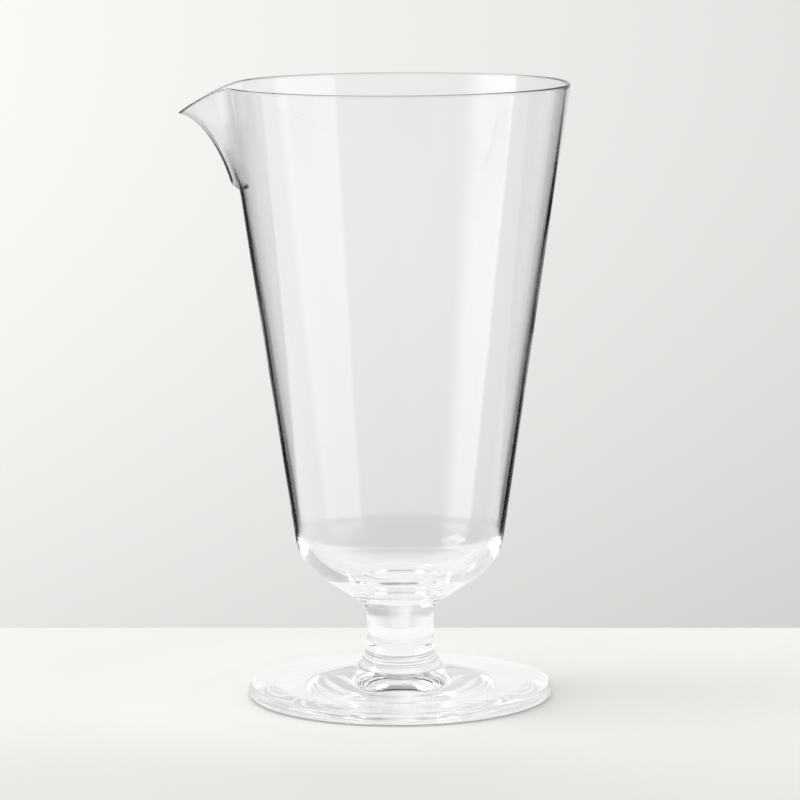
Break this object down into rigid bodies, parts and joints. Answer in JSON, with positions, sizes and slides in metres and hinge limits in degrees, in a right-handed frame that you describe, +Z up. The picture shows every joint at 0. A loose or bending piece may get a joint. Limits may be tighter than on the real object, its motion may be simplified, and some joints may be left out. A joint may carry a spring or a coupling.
{
  "type": "cocktail pitcher",
  "caption": "Footed clear-glass cocktail pitcher: tall tapered bowl with a pulled pouring lip, short solid stem and broad low disc foot.",
  "frame": {"origin": "on the pitcher's axis at the plane of the table, under the centre of the foot", "axes": "+Z up along the axis from the foot to the rim; the pouring lip points along -X; +Y is away from the picture's camera, to within about 5 degrees"},
  "size_m": [0.1449, 0.128, 0.229],
  "materials": {
    "clear_glass": "fire-polished, clear, faintly green in thick sections"
  },
  "bodies": {
    "root": {"bowl": "clear_glass", "stem": "clear_glass", "foot": "clear_glass"}
  },
  "joints": []
}
